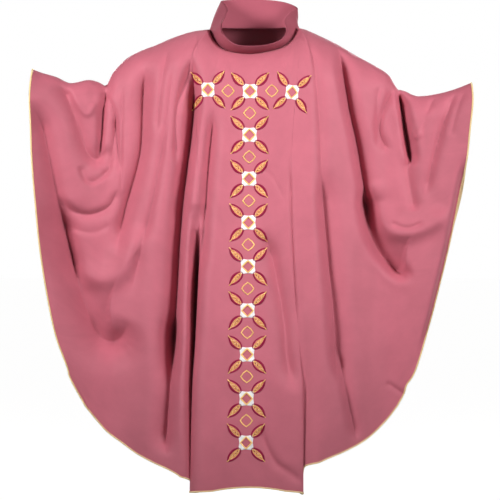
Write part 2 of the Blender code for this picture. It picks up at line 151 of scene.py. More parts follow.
# Folds, as (depth, width on the left of the line, width on its right, line). A line is in |x| and z, with
# x to the right and z up, and its left and right are those of someone who walks along it. A positive
# depth is a valley and a negative one a ridge.
FOLDS = {
    ("front", "right"): {
        "beside the panel": (0.072, 0.030, 0.014, (
            (0.163, -0.06), (0.157, -0.20), (0.168, -0.33), (0.185, -0.47), (0.197, -0.60),
            (0.205, -0.75), (0.222, -1.03))),
        "beside the panel's foot": (0.042, 0.024, 0.016, ((0.210, -0.80), (0.222, -1.00), (0.236, -1.21))),
        "branch from the shoulder": (0.015, 0.010, 0.010, (
            (0.160, -0.08), (0.175, -0.14), (0.205, -0.24), (0.208, -0.40))),
        "on the panel": (0.028, 0.017, 0.015, (
            (0.100, -0.23), (0.116, -0.40), (0.123, -0.50), (0.130, -0.60), (0.142, -0.72))),
        "down from the shoulder": (0.017, 0.016, 0.017, (
            (0.210, -0.09), (0.228, -0.24), (0.242, -0.33), (0.270, -0.48), (0.310, -0.65), (0.335, -0.77))),
        "beside it": (0.009, 0.010, 0.010, ((0.228, -0.06), (0.246, -0.16), (0.262, -0.31))),
        "from the upper arm": (0.034, 0.016, 0.030, (
            (0.290, -0.09), (0.300, -0.20), (0.305, -0.33), (0.320, -0.41), (0.345, -0.49),
            (0.365, -0.57), (0.372, -0.65))),
        "neck crease 1": (0.003, 0.003, 0.003, ((0.056, -0.09), (0.048, -0.16))),
        "neck crease 2": (0.003, 0.003, 0.004, ((0.086, -0.09), (0.106, -0.17))),
        "shoulder crease": (0.004, 0.004, 0.004, ((0.358, -0.16), (0.362, -0.49))),
        "under the arm": (0.024, 0.009, 0.011, (
            (0.418, -0.145), (0.408, -0.19), (0.415, -0.24), (0.420, -0.32), (0.430, -0.38))),
        "its branch": (0.010, 0.007, 0.007, ((0.406, -0.19), (0.385, -0.23), (0.376, -0.28), (0.367, -0.42))),
        "its second branch": (0.010, 0.010, 0.010, (
            (0.380, -0.25), (0.383, -0.32), (0.396, -0.40), (0.420, -0.44))),
        "upper swag": (0.026, 0.022, 0.020, (
            (0.538, -0.15), (0.505, -0.22), (0.480, -0.29), (0.460, -0.35), (0.436, -0.375),
            (0.412, -0.36), (0.398, -0.33))),
        "upper swag's ridge": (-0.006, 0.008, 0.010, (
            (0.510, -0.155), (0.484, -0.215), (0.455, -0.25), (0.432, -0.21))),
        "under the upper swag": (0.009, 0.006, 0.016, (
            (0.482, -0.39), (0.460, -0.435), (0.428, -0.435), (0.398, -0.40))),
        "middle swag": (0.013, 0.014, 0.009, (
            (0.544, -0.475), (0.505, -0.515), (0.464, -0.53), (0.428, -0.525), (0.394, -0.505),
            (0.370, -0.455))),
        "under the middle swag": (0.004, 0.007, 0.014, (
            (0.532, -0.55), (0.482, -0.575), (0.434, -0.58), (0.386, -0.555))),
        "beside the free edge": (0.046, 0.028, 0.030, (
            (0.608, -0.21), (0.580, -0.295), (0.558, -0.405), (0.534, -0.53), (0.506, -0.645),
            (0.478, -0.74))),
        "large swag": (0.056, 0.040, 0.062, (
            (0.542, -0.49), (0.502, -0.66), (0.468, -0.78), (0.428, -0.87), (0.390, -0.89),
            (0.362, -0.875), (0.335, -0.82))),
        "large swag's ridge": (-0.022, 0.030, 0.050, (
            (0.544, -0.52), (0.516, -0.605), (0.476, -0.68), (0.432, -0.71), (0.392, -0.71),
            (0.350, -0.68), (0.316, -0.615), (0.300, -0.55))),
    },
    ("front", "left"): {
        "on the panel, upper": (0.011, 0.012, 0.010, (
            (0.146, -0.04), (0.174, -0.09), (0.188, -0.20), (0.196, -0.32), (0.198, -0.46))),
        "on the panel, middle": (0.036, 0.028, 0.014, (
            (0.197, -0.39), (0.205, -0.52), (0.218, -0.665), (0.232, -0.80), (0.244, -1.01))),
        "on the panel, lower": (0.018, 0.014, 0.012, ((0.245, -0.91), (0.280, -1.085), (0.300, -1.17))),
        "from the shoulder": (0.044, 0.017, 0.012, (
            (0.245, -0.04), (0.260, -0.125), (0.280, -0.24), (0.300, -0.33), (0.334, -0.525),
            (0.348, -0.595))),
        "its foot": (0.054, 0.052, 0.014, (
            (0.314, -0.45), (0.328, -0.545), (0.352, -0.615), (0.390, -0.665), (0.428, -0.695),
            (0.462, -0.685))),
        "swag's ridge": (-0.020, 0.040, 0.022, (
            (0.336, -0.43), (0.356, -0.505), (0.386, -0.57), (0.426, -0.585), (0.476, -0.575),
            (0.520, -0.55), (0.554, -0.505))),
        "crease on the ridge": (0.006, 0.004, 0.008, ((0.392, -0.55), (0.440, -0.567), (0.488, -0.55))),
        "under the arm": (0.056, 0.012, 0.009, ((0.418, -0.15), (0.434, -0.26), (0.456, -0.40))),
        "hook beside it": (0.016, 0.009, 0.012, (
            (0.418, -0.155), (0.392, -0.20), (0.372, -0.25), (0.366, -0.295), (0.380, -0.335),
            (0.404, -0.35))),
        "crease beside the hook": (0.006, 0.009, 0.009, ((0.370, -0.16), (0.358, -0.21), (0.358, -0.35))),
        "below the arm": (0.017, 0.014, 0.014, ((0.450, -0.37), (0.446, -0.42), (0.464, -0.525))),
        "small swag's ridge": (-0.008, 0.008, 0.008, (
            (0.432, -0.22), (0.446, -0.275), (0.462, -0.315), (0.482, -0.285), (0.510, -0.225))),
        "beside the small swag": (0.008, 0.007, 0.007, ((0.540, -0.18), (0.510, -0.215), (0.476, -0.31))),
        "inside the free edge": (0.016, 0.011, 0.011, ((0.582, -0.165), (0.530, -0.315), (0.490, -0.49))),
        "beside the free edge": (0.006, 0.009, 0.009, ((0.600, -0.18), (0.576, -0.245), (0.558, -0.32))),
        "across the panel": (0.028, 0.024, 0.024, (
            (0.022, -0.57), (0.054, -0.625), (0.076, -0.72), (0.096, -0.84), (0.106, -0.945),
            (0.132, -1.035))),
        "panel crease": (0.006, 0.003, 0.005, ((0.110, -0.35), (0.120, -0.63), (0.134, -0.87))),
        "neck crease 1": (0.003, 0.003, 0.003, ((0.034, -0.10), (0.044, -0.165))),
        "neck crease 2": (0.003, 0.004, 0.003, ((0.092, -0.085), (0.112, -0.175))),
        "wrinkle on the panel": (0.003, 0.005, 0.005, ((0.034, -0.40), (0.064, -0.43), (0.096, -0.49))),
        "at the hem": (0.011, 0.010, 0.010, (
            (0.022, -1.105), (0.044, -1.17), (0.072, -1.22), (0.106, -1.245), (0.154, -1.28))),
        "kink at the hem": (0.006, 0.006, 0.006, ((0.380, -1.00), (0.448, -1.045))),
    },
    ("back", "right"): {
        "beside the panel": (0.012, 0.014, 0.014, (
            (0.190, -0.06), (0.200, -0.25), (0.220, -0.50), (0.235, -0.90), (0.245, -1.23))),
        "large swag": (0.012, 0.015, 0.015, (
            (0.300, -0.11), (0.310, -0.30), (0.345, -0.52), (0.400, -0.70), (0.450, -0.72), (0.520, -0.56))),
        "under the arm": (0.016, 0.010, 0.010, (
            (0.404, -0.15), (0.410, -0.23), (0.420, -0.33), (0.425, -0.42))),
        "swag's ridge": (-0.009, 0.016, 0.016, (
            (0.560, -0.40), (0.490, -0.52), (0.420, -0.53), (0.350, -0.43))),
    },
    ("back", "left"): {
        "beside the panel": (0.011, 0.014, 0.014, (
            (0.185, -0.06), (0.197, -0.25), (0.215, -0.50), (0.238, -0.90), (0.250, -1.21))),
        "large swag": (0.012, 0.015, 0.015, (
            (0.290, -0.10), (0.305, -0.30), (0.335, -0.50), (0.390, -0.68), (0.450, -0.73), (0.530, -0.54))),
        "under the arm": (0.016, 0.010, 0.010, (
            (0.412, -0.16), (0.420, -0.24), (0.430, -0.33), (0.440, -0.43))),
        "swag's ridge": (-0.009, 0.016, 0.016, (
            (0.560, -0.42), (0.490, -0.54), (0.430, -0.55), (0.360, -0.45))),
    },
}
FOLD_END = 0.17                 # share of a fold's length in which it dies away at each end
FOLD_SHOULDER = 0.08            # a valley's banks rise by this share of its depth
FOLD_PINCH = 0.50               # a deep valley gathers the cloth towards its line by this share
FULL_PINCH = 0.06               # the depth from which it does so fully
FREE_MARGIN = 0.05              # it does so less than fully this near the edges and the centre line
VALLEY_SHARPNESS = 1.25         # at 2 the bottom is round, and at 1 it is a crease
RIDGE_SHARPNESS = 1.8
PINCH_REACH = 3                 # in widths
FOLD_REACH = 6

# ---------------------------------------------------------------- collar, as (seam point, rim point)
# It stands low in front and rises round the neck. The pairs run from the front by the wearer's left.
COLLAR = (
    ((0.003, -0.086, -0.079), (0.003, -0.124, -0.059)),
    ((0.052, -0.079, -0.071), (0.048, -0.119, -0.055)),
    ((0.093, -0.058, -0.055), (0.088, -0.098, -0.039)),
    ((0.122, -0.031, -0.031), (0.106, -0.060, -0.012)),
    ((0.136, -0.004, -0.006), (0.100, -0.038, 0.022)),
    ((0.138, 0.022, 0.010), (0.117, -0.020, 0.047)),
    ((0.124, 0.052, 0.013), (0.136, 0.020, 0.063)),
    ((0.078, 0.078, 0.012), (0.096, 0.070, 0.086)),
    ((0.013, 0.088, 0.012), (0.018, 0.088, 0.096)),
    ((-0.055, 0.078, 0.012), (-0.056, 0.068, 0.092)),
    ((-0.100, 0.050, 0.010), (-0.082, 0.036, 0.085)),
    ((-0.114, 0.016, 0.002), (-0.078, -0.006, 0.076)),
    ((-0.112, -0.012, -0.014), (-0.066, -0.066, 0.046)),
    ((-0.101, -0.036, -0.037), (-0.082, -0.084, 0.006)),
    ((-0.078, -0.060, -0.061), (-0.077, -0.104, -0.024)),
    ((-0.040, -0.079, -0.075), (-0.044, -0.120, -0.053)),
)
COLLAR_BULGE = 0.005
COLLAR_COLUMNS = 168
COLLAR_LENGTH = 0.7             # round the collar
COLLAR_PLY = 0.0012
COLLAR_GAP = 0.0019             # from the middle of one ply to the middle of the next

# ---------------------------------------------------------------- grids
ROWS = 260
PANEL_COLUMNS = 44              # centre line to a pleat's middle
WING_COLUMNS = 170
ROW_POWER = 1.5                 # crowds the rows towards the shoulders
CROWD = 1.25                    # crowds the columns towards the pleats

# ---------------------------------------------------------------- colours and threads
ROSE = (0.485, 0.119, 0.164)
COLLAR_PAINTED_SHADE = 0.66             # painted shade: the collar's cloth is coloured darker for the shade it stands in, and is duller
WAVE_SCALE = 0.314              # a wave texture of this scale has one band for each metre
THREAD_RELIEF = 0.0002

# ---------------------------------------------------------------- embroidery
UNDERSIDE = -0.0004             # the stitches' underside is sunk into the cloth
STITCH_GAP = 0.0003
LEAF_START = 0.023              # from a cross's centre
SQUARE_OPENING = 0.0168         # from its centre to the tips of the opening in the white square
SQUARE_REACH = 0.0190           # and to the middle of the square's side
ARM_SQUEEZE = 0.90              # the crosses on the arms of the T are narrower
ARM_SHIFT = 0.96                # and nearer the middle
COLUMN_DRIFT = 0.011            # the front's column leans this far to the wearer's right by the hem

# ---------------------------------------------------------------- stage
FLOOR_Z = -1.50
FLOOR_REACH = 60.0
VIEW_WIDTH = 1.4                # seen at the garment


def smooth(low, high, at):
    """0 below `low`, 1 above `high`, and a smooth rise between."""
    t = np.clip((at - low) / (high - low), 0.0, 1.0)
    return t * t * (3 - 2 * t)


def unit(vectors):
    return vectors / np.linalg.norm(vectors, axis=-1, keepdims=True)


def directions(path, closed=False):
    """Unit vectors along a path of points."""
    return unit(np.roll(path, -1, 0) - np.roll(path, 1, 0) if closed else np.gradient(path, axis=0))


def way_along(path):
    """How far along a path each of its points is."""
    return np.concatenate([[0], np.cumsum(np.linalg.norm(np.diff(path, axis=0), axis=1))])


def at_ways(path, wanted):
    """A path's places at the `wanted` distances along it."""
    way = way_along(path)
    return np.column_stack([np.interp(wanted, way, axis) for axis in path.T])


def between(a, b, c, d, t):
    """A smooth curve through four points, at shares `t` of the way from b to c."""
    return 0.5 * (2 * b + (c - a) * t + (2 * a - 5 * b + 4 * c - d) * t**2 + (3 * b - a - 3 * c + d) * t**3)


def spline(points, shares, closed=False):
    """Points at `shares` of the length of a smooth curve through `points`."""
    knots = np.array(points, float)
    if closed:
        knots = np.vstack([knots[-1:], knots, knots[:2]])
    else:
        knots = np.vstack([2 * knots[:1] - knots[1:2], knots, 2 * knots[-1:] - knots[-2:-1]])
    t = np.linspace(0, 1, 16, endpoint=False)[:, None]
    spans = [between(*four, t) for four in zip(knots, knots[1:], knots[2:], knots[3:])]
    dense = np.vstack(spans + [knots[-2:-1]])
    return at_ways(dense, np.asarray(shares) * way_along(dense)[-1])


def curve_at(points, at):
    """The second column of a smooth curve through `points`, at values `at` of the first."""
    dense = spline(points, np.linspace(0, 1, 600))
    order = np.argsort(dense[:, 0])
    return np.interp(at, dense[order, 0], dense[order, 1])


def straight_at(points, at):
    """Each later column of `points` at values `at` of the first, with straight lines between."""
    table = np.array(sorted(points), float)
    return [np.interp(at, table[:, 0], column) for column in table.T[1:]]


def coons(top, hem, inner, outer, down, across):
    """A grid between four edges. `down` and `across` are the rows' and the columns' shares."""
    v, u = down[:, None, None], across[None, :, None]
    corners = ((1 - v) * ((1 - u) * top[0] + u * top[-1]) + v * ((1 - u) * hem[0] + u * hem[-1]))
    return (1 - v) * top[None] + v * hem[None] + (1 - u) * inner[:, None] + u * outer[:, None] - corners


# ---------------------------------------------------------------- the neck and the top edge
def neck_curve(face):
    """The collar's seam in front of or behind the shoulders, from -X to +X, as x, y and z."""
    ring = spline([seam for seam, _ in COLLAR], np.linspace(0, 1, 1200, endpoint=False), closed=True)
    right, left = np.argmin(ring[:, 0]), np.argmax(ring[:, 0])
    if face == "back":
        return ring[left:right + 1][::-1]
    return np.vstack([ring[right:], ring[:left + 1]])


NECK = {face: neck_curve(face) for face in FACES}


def top_edge(face, word, x):
    """Y and Z of the cloth's upper edge at x, a distance from the centre line."""
    neck = NECK[face]
    signed = SIDES[word] * x
    neck_y = np.interp(signed, neck[:, 0], neck[:, 1])
    neck_z = np.interp(signed, neck[:, 0], neck[:, 2])
    shoulder_z = curve_at(TOP[word], x)
    shoulder_y = curve_at(ARM_FORWARD, x)
    on_neck = (signed > neck[0, 0]) & (signed < neck[-1, 0])
    return np.where(on_neck, neck_y, shoulder_y), np.where(on_neck, neck_z, shoulder_z)


# ---------------------------------------------------------------- folds
def beside(path, x, z):
    """The way from a line's nearest place to each point, whether the point is on the line's left, and
    the nearest place's share of the line's length."""
    start, along = path[:-1], np.diff(path, axis=0)
    away = np.stack([x, z], axis=-1)[..., None, :] - start
    t = np.clip((away * along).sum(-1) / (along**2).sum(-1), 0, 1)
    gap = away - t[..., None] * along
    nearest = (gap**2).sum(-1).argmin(-1)[..., None]
    at = np.take_along_axis(t, nearest, -1)[..., 0]
    gap = np.take_along_axis(gap, nearest[..., None], -2)[..., 0, :]
    here = along[nearest[..., 0]]
    on_left = here[..., 0] * gap[..., 1] - here[..., 1] * gap[..., 0] > 0
    return gap, on_left, (nearest[..., 0] + at) / len(along)


def around(fold, reach, x, z):
    """Which points are within `reach` widths of a fold and, for those, the way from its line, how many
    widths that is, and the share of the fold that is left so near its ends."""
    _, left, right, line = fold
    margin = reach * max(left, right)
    low, high = np.min(line, axis=0) - margin, np.max(line, axis=0) + margin
    close = (x > low[0]) & (x < high[0]) & (z > low[1]) & (z < high[1])
    gap, on_left, share = beside(spline(line, np.linspace(0, 1, 42)), x[close], z[close])
    away = np.hypot(*gap.T) / np.where(on_left, left, right)
    return close, gap, away, smooth(0, FOLD_END, share) * smooth(0, FOLD_END, 1 - share)


def pinched(face, word, x, z, loose):
    """x and z of the cloth gathered towards its valleys."""
    new_x, new_z = x.copy(), z.copy()
    for fold in FOLDS[face, word].values():
        depth = fold[0]
        if depth < 0:
            continue
        close, gap, away, left_over = around(fold, PINCH_REACH, x, z)
        pull = FOLD_PINCH * min(depth / FULL_PINCH, 1) * np.exp(-(away**2)) * left_over * loose[close]
        new_x[close] -= gap[:, 0] * pull
        new_z[close] -= gap[:, 1] * pull
    return new_x, new_z


def fold_depth(face, word, x, z):
    """How far the folds carry the cloth inwards."""
    total = np.zeros_like(x)
    for fold in FOLDS[face, word].values():
        depth = fold[0]
        close, _, away, left_over = around(fold, FOLD_REACH, x, z)
        if depth < 0:
            shape = np.exp(-(away**RIDGE_SHARPNESS))
        else:
            banks = np.exp(-(((away - 2.2) / 1.1) ** 2))
            shape = np.exp(-(away**VALLEY_SHARPNESS)) - FOLD_SHOULDER * banks
        total[close] += depth * shape * left_over * (1 - smooth(FOLD_REACH - 2, FOLD_REACH, away))
    return total


def small_waves(x, z):
    """The unevenness of cloth between its folds."""
    waves = 0.0014 * np.sin(41 * x + 7 * z + 0.7) * np.sin(9 * z + 13 * x)
    waves += 0.0009 * np.sin(23 * x - 17 * z + 2.1)
    waves += 0.0005 * np.sin(90 * x + 21 * z) * np.sin(31 * z - 40 * x)
    return waves


# ---------------------------------------------------------------- the shape of the two large sheets
def pleat_middle(face, word, z):
    return curve_at([(height, at) for height, at, _, _ in PLEAT[face, word]], z)


def panel_top(face, word, divide_top, shares):
    """The top edge from the centre line along the neck and the shoulder to the divide."""
    neck = NECK[face]
    middle = np.argmin(np.abs(neck[:, 0]))
    on_neck = neck[middle:] if word == "left" else neck[middle::-1]
    on_neck = np.column_stack([np.abs(on_neck[:, 0]), on_neck[:, 2]])
    on_neck[0, 0] = 0.0
    shoulder = spline(TOP[word], np.linspace(0, 1, 800))
    beyond = (shoulder[:, 0] > on_neck[-1, 0]) & (shoulder[:, 0] < divide_top[0])
    path = np.vstack([on_neck[::12], shoulder[beyond], divide_top])
    return at_ways(path, shares * way_along(path)[-1])


def wing_top(word, divide_top, shares):
    """The top edge from the divide along the shoulder and the arm to the sleeve edge."""
    shoulder = spline(TOP[word], np.linspace(0, 1, 800))
    beyond = shoulder[shoulder[:, 0] > divide_top[0]]
    path = spline(np.vstack([divide_top, beyond[::20], beyond[-1]]), shares)
    path[0] = divide_top
    return path


def half_outline(face, word):
    """|x| and z of a half sheet before its pleat is folded, rows down and columns outwards."""
    down = np.linspace(0, 1, ROWS) ** ROW_POWER
    across_panel = 1 - np.linspace(1, 0, PANEL_COLUMNS) ** CROWD
    across_wing = np.linspace(0, 1, WING_COLUMNS) ** CROWD

    corner = np.array(HEM[face, word][-1])
    divide_top = np.array((DIVIDE_X, float(curve_at(TOP[word], DIVIDE_X))))
    divide_z = divide_top[1] + (corner[1] - divide_top[1]) * down
    divide = np.column_stack([pleat_middle(face, word, divide_z), divide_z])
    divide[0], divide[-1] = divide_top, corner

    top = panel_top(face, word, divide_top, across_panel)
    centre_z = top[0, 1] + (corner[1] + HEM_ARCH - top[0, 1]) * down
    centre = np.column_stack([np.zeros(ROWS), centre_z])
    hem = np.column_stack([across_panel * corner[0], centre_z[-1] - HEM_ARCH * across_panel**2])
    panel = coons(top, hem, centre, divide, down, across_panel)

    top = wing_top(word, divide_top, across_wing)
    hem = spline(HEM[face, word][::-1], across_wing)
    edge = spline(EDGE[face, word], down)
    hem[-1], top[-1] = edge[-1], edge[0]
    wing = coons(top, hem, divide, edge, down, across_wing)
    return np.concatenate([panel, wing[:, 1:]], axis=1)


def unfolded(face, word, x, z):
    """How far out the cloth hangs without its folds, and how far each point is below the top edge."""
    sign = FACES[face]
    top_x = np.linspace(0, SLEEVE_X, 240)
    edge_y, edge_z = top_edge(face, word, top_x)
    gap, _, share = beside(np.column_stack([top_x, edge_z]), x, z)
    top_out = sign * np.interp(share * (len(top_x) - 1), np.arange(len(top_x)), edge_y)
    drop = np.hypot(gap[..., 0], gap[..., 1])
    body = REACH[face] - BODY_LEAN * z
    arm = sign * curve_at(ARM_FORWARD, x) + ARM_RADIUS - (BACK_FLARE * z if face == "back" else 0)
    hanging = body + (arm - body) * smooth(*BODY_TO_ARM, x)
    round_drop = CHEST_ROUND + (ARM_ROUND - CHEST_ROUND) * smooth(*CHEST_TO_ARM, x)
    turned = np.sqrt(1 - (1 - np.clip(drop / round_drop, 0, 1)) ** 2)
    return top_out + (hanging - top_out) * turned, drop


def edge_roll(face, word, z, to_edge):
    """How far the free edge curls inwards where nothing holds it."""
    roll = np.exp(-((to_edge / EDGE_ROLL_WIDTH) ** 2))
    if (face, word) == ("front", "left"):
        return EDGE_ROLL * roll * smooth(-0.95, -0.75, z) * (1 - smooth(-0.46, -0.36, z))
    return EDGE_WAVE * roll * np.sin(14 * z)


def half_sheet(face, word):
    """X, Y and Z of a half sheet's points."""
    flat = half_outline(face, word)
    x, z = flat[..., 0], flat[..., 1]
    out, drop = unfolded(face, word, x, z)

    _, swing, step = straight_at(PLEAT[face, word], z)
    t = (x - pleat_middle(face, word, z)) / PLEAT_SPAN
    folded_x = x - swing * np.sin(np.pi * np.clip(t, -1, 1))
    behind = smooth(*PLEAT_BACK, t)
    doubled = smooth(*DOUBLED, swing)
    out -= step * behind * (1 - 0.9 * smooth(*PLEAT_FORTH, t) - 0.1 * smooth(*PLEAT_TAIL, t))

    to_edge = np.linalg.norm(flat - flat[:, -1:], axis=-1)
    to_hem = np.linalg.norm(flat - flat[-1:], axis=-1)
    free = smooth(0.0, FREE_MARGIN, np.minimum(np.minimum(to_edge, to_hem), np.minimum(drop, x)))
    beside_pleat = 1 - smooth(0.7, 1.1, np.abs(t))
    folded_x, folded_z = pinched(face, word, folded_x, z, free * (1 - doubled * beside_pleat))
    folded_under = doubled * behind * (1 - smooth(0.6, 0.9, t))
    out -= fold_depth(face, word, folded_x, folded_z) * smooth(0.0, 0.035, drop) * (1 - folded_under)
    out += small_waves(-FACES[face] * SIDES[word] * x, z) * smooth(0.0, 0.10, drop)
    out -= edge_roll(face, word, z, to_edge)
    return np.stack([SIDES[word] * folded_x, FACES[face] * out, folded_z], axis=-1)


def full_sheet(face):
    """A whole sheet from -X to +X, with its outward normals and the columns where its wings start."""
    right, left = half_sheet(face, "right"), half_sheet(face, "left")
    grid = np.concatenate([right[:, :0:-1], left], axis=1)
    middle = right.shape[1] - 1
    starts = (middle - PANEL_COLUMNS + 1, middle + PANEL_COLUMNS - 1)
    normals = np.cross(np.gradient(grid, axis=1), np.gradient(grid, axis=0))
    normals /= np.maximum(np.linalg.norm(normals, axis=-1, keepdims=True), 1e-12)
    return grid, normals * FACES[face], starts


# ---------------------------------------------------------------- meshes
def new_mesh(name, points, faces):
    mesh = bpy.data.meshes.new(name)
    mesh.from_pydata(np.asarray(points).reshape(-1, 3).tolist(), [], faces)
    mesh.shade_smooth()
    return mesh


def link(name, mesh, materials):
    for material in materials:
        mesh.materials.append(material)
    obj = bpy.data.objects.new(name, mesh)
    bpy.context.scene.collection.objects.link(obj)
    return obj


def grid_faces(rows, columns, closed_rows=False, closed_columns=False):
    r, c = np.meshgrid(np.arange(rows if closed_rows else rows - 1),
                       np.arange(columns if closed_columns else columns - 1), indexing="ij")
    next_r, next_c = (r + 1) % rows, (c + 1) % columns
    corners = (r * columns + c, r * columns + next_c, next_r * columns + next_c, next_r * columns + c)
    return np.stack(corners, axis=-1).reshape(-1, 4)


def closed_faces(rows, columns):
    """Faces of two grids of points, one over the other, and of the rim between them."""
    count = rows * columns
    faces = grid_faces(rows, columns)
    index = np.arange(count).reshape(rows, columns)
    loop = np.concatenate([index[0, :-1], index[:-1, -1], index[-1, :0:-1], index[:0:-1, 0]])
    after = np.roll(loop, -1)
    rim = np.stack([loop + count, after + count, after, loop], axis=-1)
    return np.concatenate([faces, faces[:, ::-1] + count, rim])


def tube_faces(rings, sides, closed):
    """Faces round a tube, and over both its ends unless it closes on itself."""
    faces = grid_faces(rings, sides, closed_rows=closed, closed_columns=True)[:, ::-1].tolist()
    if not closed:
        last = (rings - 1) * sides
        faces.append(list(range(sides)))
        faces.append(list(range(last + sides - 1, last - 1, -1)))
    return faces


def shell(name, grid, normals, thickness):
    """A closed mesh of a sheet: both faces and the rim between them."""
    rows, columns = grid.shape[:2]
    faces = closed_faces(rows, columns)
    r, c = rows // 2, columns // 2
    facing = np.cross(grid[r, c + 1] - grid[r, c], grid[r + 1, c] - grid[r, c])
    if np.dot(facing, normals[r, c]) <= 0:
        faces = faces[:, ::-1]
    return new_mesh(name, [grid + normals * thickness / 2, grid - normals * thickness / 2], faces.tolist())


def read(items, field, size=1):
    """One whole-number field of all of a mesh's edges or loops."""
    values = np.empty(len(items) * size, np.int64)
    items.foreach_get(field, values)
    return values


def mark_rim_sharp(mesh):
    """Edges between a face of the sheet and its rim stay sharp, so that the sheet shades evenly."""
    count = len(mesh.vertices) // 2
    ends = read(mesh.edges, "vertices", 2).reshape(-1, 2)
    on_face = (ends[:, 0] < count) == (ends[:, 1] < count)
    corners = read(mesh.loops, "vertex_index").reshape(-1, 4)
    edges = read(mesh.loops, "edge_index").reshape(-1, 4)
    on_rim = (corners < count).any(1) & (corners >= count).any(1)
    sharp = np.zeros(len(mesh.edges), bool)
    sharp[edges[on_rim].ravel()] = True
    attribute = mesh.attributes.new("sharp_edge", "BOOLEAN", "EDGE")
    attribute.data.foreach_set("value", sharp & on_face)


def cloth_uv(grid):
    """Distances along the cloth, in metres, across and down."""
    across = np.linalg.norm(np.diff(grid, axis=1), axis=-1)
    down = np.linalg.norm(np.diff(grid, axis=0), axis=-1)
    u = np.concatenate([np.zeros((grid.shape[0], 1)), across.cumsum(1)], axis=1)
    v = np.concatenate([np.zeros((1, grid.shape[1])), down.cumsum(0)], axis=0)
    middle = grid.shape[1] // 2
    u = u - u[:, middle:middle + 1]
    v = np.broadcast_to(v[:, middle:middle + 1], v.shape)
    return np.stack([u, v], axis=-1)


def set_uv(mesh, per_corner):
    layer = mesh.uv_layers.new(name="cloth")
    layer.data.foreach_set("uv", per_corner.astype(np.float32).ravel())


def sheet_mesh(name, grid, normals, thickness, uv):
    mesh = shell(name, grid, normals, thickness)
    set_uv(mesh, np.concatenate([uv.reshape(-1, 2)] * 2)[read(mesh.loops, "vertex_index")])
    mark_rim_sharp(mesh)
    return mesh


def frame_along(path, closed=False):
    """Two unit vectors across a path at each of its points."""
    along = directions(path, closed)
    across = unit(np.cross(along, (0.0, 1.0, 0.05)))
    return across, np.cross(across, along)


def tube(path, radius, sides=8, closed=False):
    """Vertices and faces of a round tube along a path of points."""
    across, up = frame_along(path, closed)
    turn = np.linspace(0, 2 * math.pi, sides, endpoint=False)
    ring = np.cos(turn)[None, :, None] * across[:, None] + np.sin(turn)[None, :, None] * up[:, None]
    points = path[:, None] + radius * ring
    return points.reshape(-1, 3), tube_faces(len(path), sides, closed)


def joined(parts):
    """Several (vertices, faces) as one."""
    verts, faces, base = [], [], 0
    for points, quads in parts:
        verts.append(points)
        faces += [[i + base for i in quad] for quad in quads]
        base += len(points)
    return np.concatenate(verts), faces


# ---------------------------------------------------------------- materials
def new_material(name, colour, roughness, sheen=0.0, specular=0.5, metallic=0.0):
    material = bpy.data.materials.new(name)
    material.use_nodes = True
    shader = material.node_tree.nodes["Principled BSDF"]
    shader.inputs["Base Color"].default_value = (*colour, 1)
    shader.inputs["Roughness"].default_value = roughness
    shader.inputs["Metallic"].default_value = metallic
    shader.inputs["Sheen Weight"].default_value = sheen
    shader.inputs["Specular IOR Level"].default_value = specular
    return material


def add_node(tree, kind, inputs=None, **settings):
    node = tree.nodes.new(kind)
    for key, value in settings.items():
        setattr(node, key, value)
    for key, value in (inputs or {}).items():
        node.inputs[key].default_value = value
    return node


def two_tones(tree, pattern, share, ground, colour, tone, stops):
    """The colour a little darker and lighter, by `share` of a fine pattern on a ground."""
    both = add_node(tree, "ShaderNodeMath", {1: share}, operation="MULTIPLY_ADD")
    tree.links.new(pattern, both.inputs[0])
    tree.links.new(ground, both.inputs[2])
    ramp = add_node(tree, "ShaderNodeValToRGB")
    for element, stop, factor in zip(ramp.color_ramp.elements, stops, (1 - tone, 1 + tone)):
        element.position = stop
        element.color = (*[min(c * factor, 1) for c in colour], 1)
    tree.links.new(both.outputs["Value"], ramp.inputs["Fac"])
    tree.links.new(ramp.outputs["Color"], tree.nodes["Principled BSDF"].inputs["Base Color"])


def relief(tree, pattern, strength):
    bump = add_node(tree, "ShaderNodeBump", {"Strength": strength, "Distance": THREAD_RELIEF})
    tree.links.new(pattern, bump.inputs["Height"])
    tree.links.new(bump.outputs["Normal"], tree.nodes["Principled BSDF"].inputs["Normal"])


def woven(name, colour, roughness, pitch, sheen=0.0, specular=0.3):
    """Plain-weave cloth from the distances along it: warp and weft ridges, slubs and soft tone changes."""
    material = new_material(name, colour, roughness, sheen, specular)
    tree = material.node_tree
    place = add_node(tree, "ShaderNodeUVMap", uv_map="cloth")
    weave = add_node(tree, "ShaderNodeMath", operation="MULTIPLY")
    for number, direction in enumerate("XY"):
        sizes = {"Scale": WAVE_SCALE / pitch, "Distortion": 0.6, "Detail": 1.0, "Detail Scale": 2.0}
        wave = add_node(tree, "ShaderNodeTexWave", sizes, bands_direction=direction)
        tree.links.new(place.outputs["UV"], wave.inputs["Vector"])
        tree.links.new(wave.outputs["Fac"], weave.inputs[number])
    slub = add_node(tree, "ShaderNodeTexNoise", {"Scale": 9.0, "Detail": 6.0, "Roughness": 0.65})
    tree.links.new(place.outputs["UV"], slub.inputs["Vector"])
    two_tones(tree, weave.outputs["Value"], 0.22, slub.outputs["Fac"], colour, 0.10, (0.30, 0.85))
    relief(tree, weave.outputs["Value"], 0.35)
    return material


